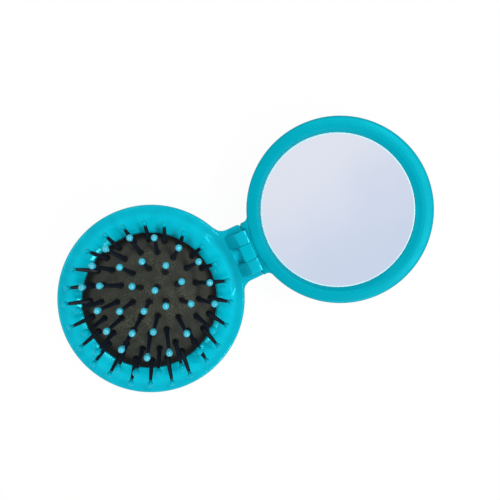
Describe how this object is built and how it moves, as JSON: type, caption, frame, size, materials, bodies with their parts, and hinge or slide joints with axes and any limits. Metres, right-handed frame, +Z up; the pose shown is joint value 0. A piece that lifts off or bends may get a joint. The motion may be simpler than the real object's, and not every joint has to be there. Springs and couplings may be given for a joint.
{
  "type": "folding pop-up hair brush with mirror",
  "caption": "Round pocket brush whose pins pop up from a shallow tub, hinged to a round mirror lid that folds over them.",
  "frame": {"origin": "on the table under the middle of the lid's hinge axis, which is the centre of the bounding box's bottom face", "axes": "+X from the brush case to the opened lid, +Y along the hinge, +Z up out of the brush and the mirror"},
  "size_m": [0.148, 0.07, 0.0352],
  "materials": {
    "turquoise_plastic": "glossy moulded plastic",
    "pad_rubber": "matt fine-grained rubber",
    "pin_nylon": "smooth nylon with turquoise ball ends",
    "mirror": "silvered flat glass, bevelled edge",
    "foam_tape": "white double-sided foam tape",
    "hinge_steel": "drawn wire"
  },
  "bodies": {
    "case": {"case_tub": "turquoise_plastic", "case_back_ring": "turquoise_plastic", "hinge_pin": "hinge_steel"},
    "brush_core": {"push_plate": "turquoise_plastic", "bristle_pad": "pad_rubber", "pin_plate": "pin_nylon"},
    "lid": {"lid_shell": "turquoise_plastic", "mirror_glass": "mirror", "mirror_foam": "foam_tape"},
    "mid_pin_01": {"mid_pin_01": "pin_nylon"},
    "mid_pin_02": {"mid_pin_02": "pin_nylon"},
    "mid_pin_03": {"mid_pin_03": "pin_nylon"},
    "mid_pin_04": {"mid_pin_04": "pin_nylon"},
    "mid_pin_05": {"mid_pin_05": "pin_nylon"},
    "mid_pin_06": {"mid_pin_06": "pin_nylon"},
    "mid_pin_07": {"mid_pin_07": "pin_nylon"},
    "mid_pin_08": {"mid_pin_08": "pin_nylon"},
    "mid_pin_09": {"mid_pin_09": "pin_nylon"},
    "mid_pin_10": {"mid_pin_10": "pin_nylon"},
    "mid_pin_11": {"mid_pin_11": "pin_nylon"},
    "mid_pin_12": {"mid_pin_12": "pin_nylon"},
    "mid_pin_13": {"mid_pin_13": "pin_nylon"},
    "mid_pin_14": {"mid_pin_14": "pin_nylon"},
    "mid_pin_15": {"mid_pin_15": "pin_nylon"},
    "mid_pin_16": {"mid_pin_16": "pin_nylon"},
    "mid_pin_17": {"mid_pin_17": "pin_nylon"},
    "mid_pin_18": {"mid_pin_18": "pin_nylon"},
    "rim_pin_01": {"rim_pin_01": "pin_nylon"},
    "rim_pin_02": {"rim_pin_02": "pin_nylon"},
    "rim_pin_03": {"rim_pin_03": "pin_nylon"},
    "rim_pin_04": {"rim_pin_04": "pin_nylon"},
    "rim_pin_05": {"rim_pin_05": "pin_nylon"},
    "rim_pin_06": {"rim_pin_06": "pin_nylon"},
    "rim_pin_07": {"rim_pin_07": "pin_nylon"},
    "rim_pin_08": {"rim_pin_08": "pin_nylon"},
    "rim_pin_09": {"rim_pin_09": "pin_nylon"},
    "rim_pin_10": {"rim_pin_10": "pin_nylon"},
    "rim_pin_11": {"rim_pin_11": "pin_nylon"},
    "rim_pin_12": {"rim_pin_12": "pin_nylon"},
    "rim_pin_13": {"rim_pin_13": "pin_nylon"},
    "rim_pin_14": {"rim_pin_14": "pin_nylon"},
    "rim_pin_15": {"rim_pin_15": "pin_nylon"},
    "rim_pin_16": {"rim_pin_16": "pin_nylon"},
    "rim_pin_17": {"rim_pin_17": "pin_nylon"},
    "rim_pin_18": {"rim_pin_18": "pin_nylon"},
    "rim_pin_19": {"rim_pin_19": "pin_nylon"},
    "rim_pin_20": {"rim_pin_20": "pin_nylon"},
    "rim_pin_21": {"rim_pin_21": "pin_nylon"},
    "rim_pin_22": {"rim_pin_22": "pin_nylon"},
    "rim_pin_23": {"rim_pin_23": "pin_nylon"},
    "rim_pin_24": {"rim_pin_24": "pin_nylon"}
  },
  "joints": [
    {"name": "lid_hinge", "type": "hinge", "parent": "case", "child": "lid", "pos_m": [0, 0, 0.01955], "axis": [0, -1, 0], "range_deg": [0, 180]},
    {"name": "brush_slide", "type": "slide", "parent": "case", "child": "brush_core", "axis": [0, 0, -1], "range_m": [0, 0.0148]},
    {"name": "mid_pin_01_tilt", "type": "hinge", "parent": "brush_core", "child": "mid_pin_01", "pos_m": [-0.02263, -0.00722, 0.02077], "axis": [-0.4035, -0.915, 0], "range_deg": [0, 25.5]},
    {"name": "mid_pin_02_tilt", "type": "hinge", "parent": "brush_core", "child": "mid_pin_02", "pos_m": [-0.02114, -0.00119, 0.02077], "axis": [-0.0663, -0.9978, 0], "range_deg": [0, 25.5]},
    {"name": "mid_pin_03_tilt", "type": "hinge", "parent": "brush_core", "child": "mid_pin_03", "pos_m": [-0.02181, 0.00499, 0.02077], "axis": [0.279, -0.9603, 0], "range_deg": [0, 25.5]},
    {"name": "mid_pin_04_tilt", "type": "hinge", "parent": "brush_core", "child": "mid_pin_04", "pos_m": [-0.02456, 0.01057, 0.02077], "axis": [0.5906, -0.807, 0], "range_deg": [0, 25.5]},
    {"name": "mid_pin_05_tilt", "type": "hinge", "parent": "brush_core", "child": "mid_pin_05", "pos_m": [-0.02904, 0.01487, 0.02077], "axis": [0.831, -0.5563, 0], "range_deg": [0, 25.5]},
    {"name": "mid_pin_06_tilt", "type": "hinge", "parent": "brush_core", "child": "mid_pin_06", "pos_m": [-0.03473, 0.01738, 0.02077], "axis": [0.9711, -0.2385, 0], "range_deg": [0, 25.5]},
    {"name": "mid_pin_07_tilt", "type": "hinge", "parent": "brush_core", "child": "mid_pin_07", "pos_m": [-0.04093, 0.01779, 0.02077], "axis": [0.9942, 0.108, 0], "range_deg": [0, 25.5]},
    {"name": "mid_pin_08_tilt", "type": "hinge", "parent": "brush_core", "child": "mid_pin_08", "pos_m": [-0.0469, 0.01606, 0.02077], "axis": [0.8973, 0.4415, 0], "range_deg": [0, 25.5]},
    {"name": "mid_pin_09_tilt", "type": "hinge", "parent": "brush_core", "child": "mid_pin_09", "pos_m": [-0.05192, 0.01239, 0.02077], "axis": [0.6921, 0.7218, 0], "range_deg": [0, 25.5]},
    {"name": "mid_pin_10_tilt", "type": "hinge", "parent": "brush_core", "child": "mid_pin_10", "pos_m": [-0.05537, 0.00722, 0.02077], "axis": [0.4035, 0.915, 0], "range_deg": [0, 25.5]},
    {"name": "mid_pin_11_tilt", "type": "hinge", "parent": "brush_core", "child": "mid_pin_11", "pos_m": [-0.05686, 0.00119, 0.02077], "axis": [0.0663, 0.9978, 0], "range_deg": [0, 25.5]},
    {"name": "mid_pin_12_tilt", "type": "hinge", "parent": "brush_core", "child": "mid_pin_12", "pos_m": [-0.05619, -0.00499, 0.02077], "axis": [-0.279, 0.9603, 0], "range_deg": [0, 25.5]},
    {"name": "mid_pin_13_tilt", "type": "hinge", "parent": "brush_core", "child": "mid_pin_13", "pos_m": [-0.05344, -0.01057, 0.02077], "axis": [-0.5906, 0.807, 0], "range_deg": [0, 25.5]},
    {"name": "mid_pin_14_tilt", "type": "hinge", "parent": "brush_core", "child": "mid_pin_14", "pos_m": [-0.04896, -0.01487, 0.02077], "axis": [-0.831, 0.5563, 0], "range_deg": [0, 25.5]},
    {"name": "mid_pin_15_tilt", "type": "hinge", "parent": "brush_core", "child": "mid_pin_15", "pos_m": [-0.04327, -0.01738, 0.02077], "axis": [-0.9711, 0.2385, 0], "range_deg": [0, 25.5]},
    {"name": "mid_pin_16_tilt", "type": "hinge", "parent": "brush_core", "child": "mid_pin_16", "pos_m": [-0.03707, -0.01779, 0.02077], "axis": [-0.9942, -0.108, 0], "range_deg": [0, 25.5]},
    {"name": "mid_pin_17_tilt", "type": "hinge", "parent": "brush_core", "child": "mid_pin_17", "pos_m": [-0.0311, -0.01606, 0.02077], "axis": [-0.8973, -0.4415, 0], "range_deg": [0, 25.5]},
    {"name": "mid_pin_18_tilt", "type": "hinge", "parent": "brush_core", "child": "mid_pin_18", "pos_m": [-0.02608, -0.01239, 0.02077], "axis": [-0.6921, -0.7218, 0], "range_deg": [0, 25.5]},
    {"name": "rim_pin_01_tilt", "type": "hinge", "parent": "brush_core", "child": "rim_pin_01", "pos_m": [-0.01869, -0.00896, 0.01984], "axis": [-0.4035, -0.915, 0], "range_deg": [0, 52.8]},
    {"name": "rim_pin_02_tilt", "type": "hinge", "parent": "brush_core", "child": "rim_pin_02", "pos_m": [-0.01706, -0.0034, 0.01984], "axis": [-0.153, -0.9882, 0], "range_deg": [0, 52.8]},
    {"name": "rim_pin_03_tilt", "type": "hinge", "parent": "brush_core", "child": "rim_pin_03", "pos_m": [-0.01693, 0.0024, 0.01984], "axis": [0.108, -0.9942, 0], "range_deg": [0, 52.8]},
    {"name": "rim_pin_04_tilt", "type": "hinge", "parent": "brush_core", "child": "rim_pin_04", "pos_m": [-0.0183, 0.00803, 0.01984], "axis": [0.3616, -0.9323, 0], "range_deg": [0, 52.8]},
    {"name": "rim_pin_05_tilt", "type": "hinge", "parent": "brush_core", "child": "rim_pin_05", "pos_m": [-0.02108, 0.01311, 0.01984], "axis": [0.5906, -0.807, 0], "range_deg": [0, 52.8]},
    {"name": "rim_pin_06_tilt", "type": "hinge", "parent": "brush_core", "child": "rim_pin_06", "pos_m": [-0.02509, 0.0173, 0.01984], "axis": [0.7793, -0.6266, 0], "range_deg": [0, 52.8]},
    {"name": "rim_pin_07_tilt", "type": "hinge", "parent": "brush_core", "child": "rim_pin_07", "pos_m": [-0.03004, 0.02031, 0.01984], "axis": [0.915, -0.4035, 0], "range_deg": [0, 52.8]},
    {"name": "rim_pin_08_tilt", "type": "hinge", "parent": "brush_core", "child": "rim_pin_08", "pos_m": [-0.0356, 0.02194, 0.01984], "axis": [0.9882, -0.153, 0], "range_deg": [0, 52.8]},
    {"name": "rim_pin_09_tilt", "type": "hinge", "parent": "brush_core", "child": "rim_pin_09", "pos_m": [-0.0414, 0.02207, 0.01984], "axis": [0.9942, 0.108, 0], "range_deg": [0, 52.8]},
    {"name": "rim_pin_10_tilt", "type": "hinge", "parent": "brush_core", "child": "rim_pin_10", "pos_m": [-0.04703, 0.0207, 0.01984], "axis": [0.9323, 0.3616, 0], "range_deg": [0, 52.8]},
    {"name": "rim_pin_11_tilt", "type": "hinge", "parent": "brush_core", "child": "rim_pin_11", "pos_m": [-0.05211, 0.01792, 0.01984], "axis": [0.807, 0.5906, 0], "range_deg": [0, 52.8]},
    {"name": "rim_pin_12_tilt", "type": "hinge", "parent": "brush_core", "child": "rim_pin_12", "pos_m": [-0.0563, 0.01391, 0.01984], "axis": [0.6266, 0.7793, 0], "range_deg": [0, 52.8]},
    {"name": "rim_pin_13_tilt", "type": "hinge", "parent": "brush_core", "child": "rim_pin_13", "pos_m": [-0.05931, 0.00896, 0.01984], "axis": [0.4035, 0.915, 0], "range_deg": [0, 52.8]},
    {"name": "rim_pin_14_tilt", "type": "hinge", "parent": "brush_core", "child": "rim_pin_14", "pos_m": [-0.06094, 0.0034, 0.01984], "axis": [0.153, 0.9882, 0], "range_deg": [0, 52.8]},
    {"name": "rim_pin_15_tilt", "type": "hinge", "parent": "brush_core", "child": "rim_pin_15", "pos_m": [-0.06107, -0.0024, 0.01984], "axis": [-0.108, 0.9942, 0], "range_deg": [0, 52.8]},
    {"name": "rim_pin_16_tilt", "type": "hinge", "parent": "brush_core", "child": "rim_pin_16", "pos_m": [-0.0597, -0.00803, 0.01984], "axis": [-0.3616, 0.9323, 0], "range_deg": [0, 52.8]},
    {"name": "rim_pin_17_tilt", "type": "hinge", "parent": "brush_core", "child": "rim_pin_17", "pos_m": [-0.05692, -0.01311, 0.01984], "axis": [-0.5906, 0.807, 0], "range_deg": [0, 52.8]},
    {"name": "rim_pin_18_tilt", "type": "hinge", "parent": "brush_core", "child": "rim_pin_18", "pos_m": [-0.05291, -0.0173, 0.01984], "axis": [-0.7793, 0.6266, 0], "range_deg": [0, 52.8]},
    {"name": "rim_pin_19_tilt", "type": "hinge", "parent": "brush_core", "child": "rim_pin_19", "pos_m": [-0.04796, -0.02031, 0.01984], "axis": [-0.915, 0.4035, 0], "range_deg": [0, 52.8]},
    {"name": "rim_pin_20_tilt", "type": "hinge", "parent": "brush_core", "child": "rim_pin_20", "pos_m": [-0.0424, -0.02194, 0.01984], "axis": [-0.9882, 0.153, 0], "range_deg": [0, 52.8]},
    {"name": "rim_pin_21_tilt", "type": "hinge", "parent": "brush_core", "child": "rim_pin_21", "pos_m": [-0.0366, -0.02207, 0.01984], "axis": [-0.9942, -0.108, 0], "range_deg": [0, 52.8]},
    {"name": "rim_pin_22_tilt", "type": "hinge", "parent": "brush_core", "child": "rim_pin_22", "pos_m": [-0.03097, -0.0207, 0.01984], "axis": [-0.9323, -0.3616, 0], "range_deg": [0, 52.8]},
    {"name": "rim_pin_23_tilt", "type": "hinge", "parent": "brush_core", "child": "rim_pin_23", "pos_m": [-0.02589, -0.01792, 0.01984], "axis": [-0.807, -0.5906, 0], "range_deg": [0, 52.8]},
    {"name": "rim_pin_24_tilt", "type": "hinge", "parent": "brush_core", "child": "rim_pin_24", "pos_m": [-0.0217, -0.01391, 0.01984], "axis": [-0.6266, -0.7793, 0], "range_deg": [0, 52.8]}
  ],
  "couplings": [
    {"joint": "brush_slide", "follows": "lid_hinge", "m_per_rad": 0.00471},
    {"joint": "mid_pin_01_tilt", "follows": "lid_hinge", "ratio": 0.1416},
    {"joint": "mid_pin_02_tilt", "follows": "lid_hinge", "ratio": 0.1416},
    {"joint": "mid_pin_03_tilt", "follows": "lid_hinge", "ratio": 0.1416},
    {"joint": "mid_pin_04_tilt", "follows": "lid_hinge", "ratio": 0.1416},
    {"joint": "mid_pin_05_tilt", "follows": "lid_hinge", "ratio": 0.1416},
    {"joint": "mid_pin_06_tilt", "follows": "lid_hinge", "ratio": 0.1416},
    {"joint": "mid_pin_07_tilt", "follows": "lid_hinge", "ratio": 0.1416},
    {"joint": "mid_pin_08_tilt", "follows": "lid_hinge", "ratio": 0.1416},
    {"joint": "mid_pin_09_tilt", "follows": "lid_hinge", "ratio": 0.1416},
    {"joint": "mid_pin_10_tilt", "follows": "lid_hinge", "ratio": 0.1416},
    {"joint": "mid_pin_11_tilt", "follows": "lid_hinge", "ratio": 0.1416},
    {"joint": "mid_pin_12_tilt", "follows": "lid_hinge", "ratio": 0.1416},
    {"joint": "mid_pin_13_tilt", "follows": "lid_hinge", "ratio": 0.1416},
    {"joint": "mid_pin_14_tilt", "follows": "lid_hinge", "ratio": 0.1416},
    {"joint": "mid_pin_15_tilt", "follows": "lid_hinge", "ratio": 0.1416},
    {"joint": "mid_pin_16_tilt", "follows": "lid_hinge", "ratio": 0.1416},
    {"joint": "mid_pin_17_tilt", "follows": "lid_hinge", "ratio": 0.1416},
    {"joint": "mid_pin_18_tilt", "follows": "lid_hinge", "ratio": 0.1416},
    {"joint": "rim_pin_01_tilt", "follows": "lid_hinge", "ratio": 0.2933},
    {"joint": "rim_pin_02_tilt", "follows": "lid_hinge", "ratio": 0.2933},
    {"joint": "rim_pin_03_tilt", "follows": "lid_hinge", "ratio": 0.2933},
    {"joint": "rim_pin_04_tilt", "follows": "lid_hinge", "ratio": 0.2933},
    {"joint": "rim_pin_05_tilt", "follows": "lid_hinge", "ratio": 0.2933},
    {"joint": "rim_pin_06_tilt", "follows": "lid_hinge", "ratio": 0.2933},
    {"joint": "rim_pin_07_tilt", "follows": "lid_hinge", "ratio": 0.2933},
    {"joint": "rim_pin_08_tilt", "follows": "lid_hinge", "ratio": 0.2933},
    {"joint": "rim_pin_09_tilt", "follows": "lid_hinge", "ratio": 0.2933},
    {"joint": "rim_pin_10_tilt", "follows": "lid_hinge", "ratio": 0.2933},
    {"joint": "rim_pin_11_tilt", "follows": "lid_hinge", "ratio": 0.2933},
    {"joint": "rim_pin_12_tilt", "follows": "lid_hinge", "ratio": 0.2933},
    {"joint": "rim_pin_13_tilt", "follows": "lid_hinge", "ratio": 0.2933},
    {"joint": "rim_pin_14_tilt", "follows": "lid_hinge", "ratio": 0.2933},
    {"joint": "rim_pin_15_tilt", "follows": "lid_hinge", "ratio": 0.2933},
    {"joint": "rim_pin_16_tilt", "follows": "lid_hinge", "ratio": 0.2933},
    {"joint": "rim_pin_17_tilt", "follows": "lid_hinge", "ratio": 0.2933},
    {"joint": "rim_pin_18_tilt", "follows": "lid_hinge", "ratio": 0.2933},
    {"joint": "rim_pin_19_tilt", "follows": "lid_hinge", "ratio": 0.2933},
    {"joint": "rim_pin_20_tilt", "follows": "lid_hinge", "ratio": 0.2933},
    {"joint": "rim_pin_21_tilt", "follows": "lid_hinge", "ratio": 0.2933},
    {"joint": "rim_pin_22_tilt", "follows": "lid_hinge", "ratio": 0.2933},
    {"joint": "rim_pin_23_tilt", "follows": "lid_hinge", "ratio": 0.2933},
    {"joint": "rim_pin_24_tilt", "follows": "lid_hinge", "ratio": 0.2933}
  ]
}
